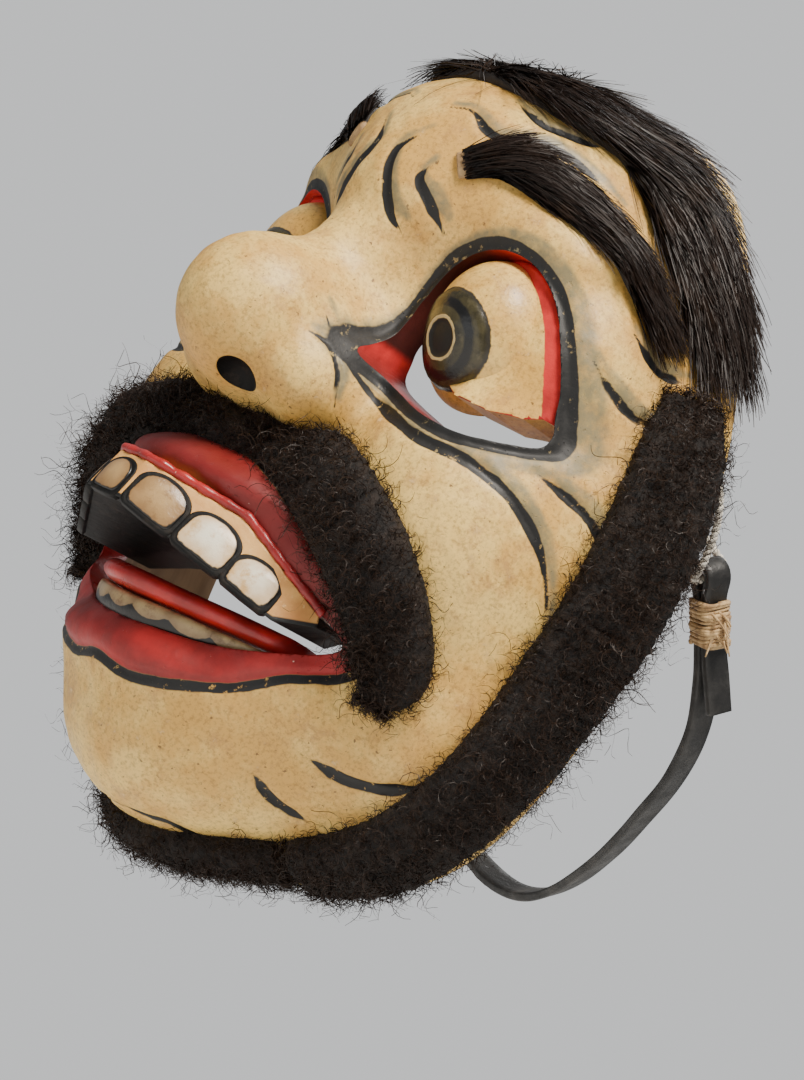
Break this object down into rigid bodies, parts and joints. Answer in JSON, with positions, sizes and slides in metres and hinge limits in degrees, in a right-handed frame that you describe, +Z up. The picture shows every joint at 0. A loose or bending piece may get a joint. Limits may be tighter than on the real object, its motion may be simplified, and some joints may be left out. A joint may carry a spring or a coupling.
{
  "type": "carved comic theatre mask",
  "caption": "Carved painted wooden comic mask with pop eyes and buck teeth, hairy hide brows and hairline, curly pelt moustache and beard, and a rubber head strap that swings on string ties.",
  "frame": {"origin": "middle of the open back, in the plane of the flat back rim, level with the wearer's brow", "axes": "+Z up the face with the back rim upright, +Y straight out of the open back towards the wearer, so the face looks along -Y; +X is the mask's own left side"},
  "size_m": [0.1706, 0.1618, 0.1972],
  "materials": {
    "painted_wood": "ochre paint with brown staining, satin",
    "eye_paint": "ochre paint with a dark iris, semi-gloss",
    "gum_paint": "orange ochre paint, satin",
    "tooth_white": "white tooth, brown stains, semi-gloss",
    "tooth_brown": "tan tooth, satin",
    "red_paint": "red lacquer paint, semi-gloss",
    "hide_hair": "straight dark animal hair on raw hide",
    "curly_pelt": "tight black curls on a strip of pelt",
    "strap_rubber": "black rubber cut from a flat sheet, dull",
    "cotton": "white cotton string, frayed",
    "raffia": "tan raffia, wound and knotted"
  },
  "bodies": {
    "mask": {"mask_shell": "painted_wood", "eye_left": "eye_paint", "eye_right": "eye_paint", "upper_gum": "gum_paint", "upper_front_tooth": "tooth_brown", "upper_incisor_left": "tooth_brown", "upper_incisor_right": "tooth_brown", "upper_canine_left": "tooth_white", "upper_canine_right": "tooth_white", "upper_premolar_left": "tooth_white", "upper_premolar_right": "tooth_white", "lower_teeth": "tooth_brown", "tongue": "red_paint", "hair_band": "hide_hair", "brow_left": "hide_hair", "brow_right": "hide_hair", "moustache": "curly_pelt", "sideburn_left": "curly_pelt", "sideburn_right": "curly_pelt", "chin_beard": "curly_pelt"},
    "strap": {"head_strap": "strap_rubber", "tie_string_left": "cotton", "tie_string_right": "cotton", "strap_binding_left": "raffia", "strap_binding_right": "raffia"}
  },
  "joints": [
    {"name": "strap_swing", "type": "hinge", "parent": "mask", "child": "strap", "pos_m": [0, -0.006, -0.018], "axis": [1, 0, 0], "range_deg": [-4, 50]}
  ]
}
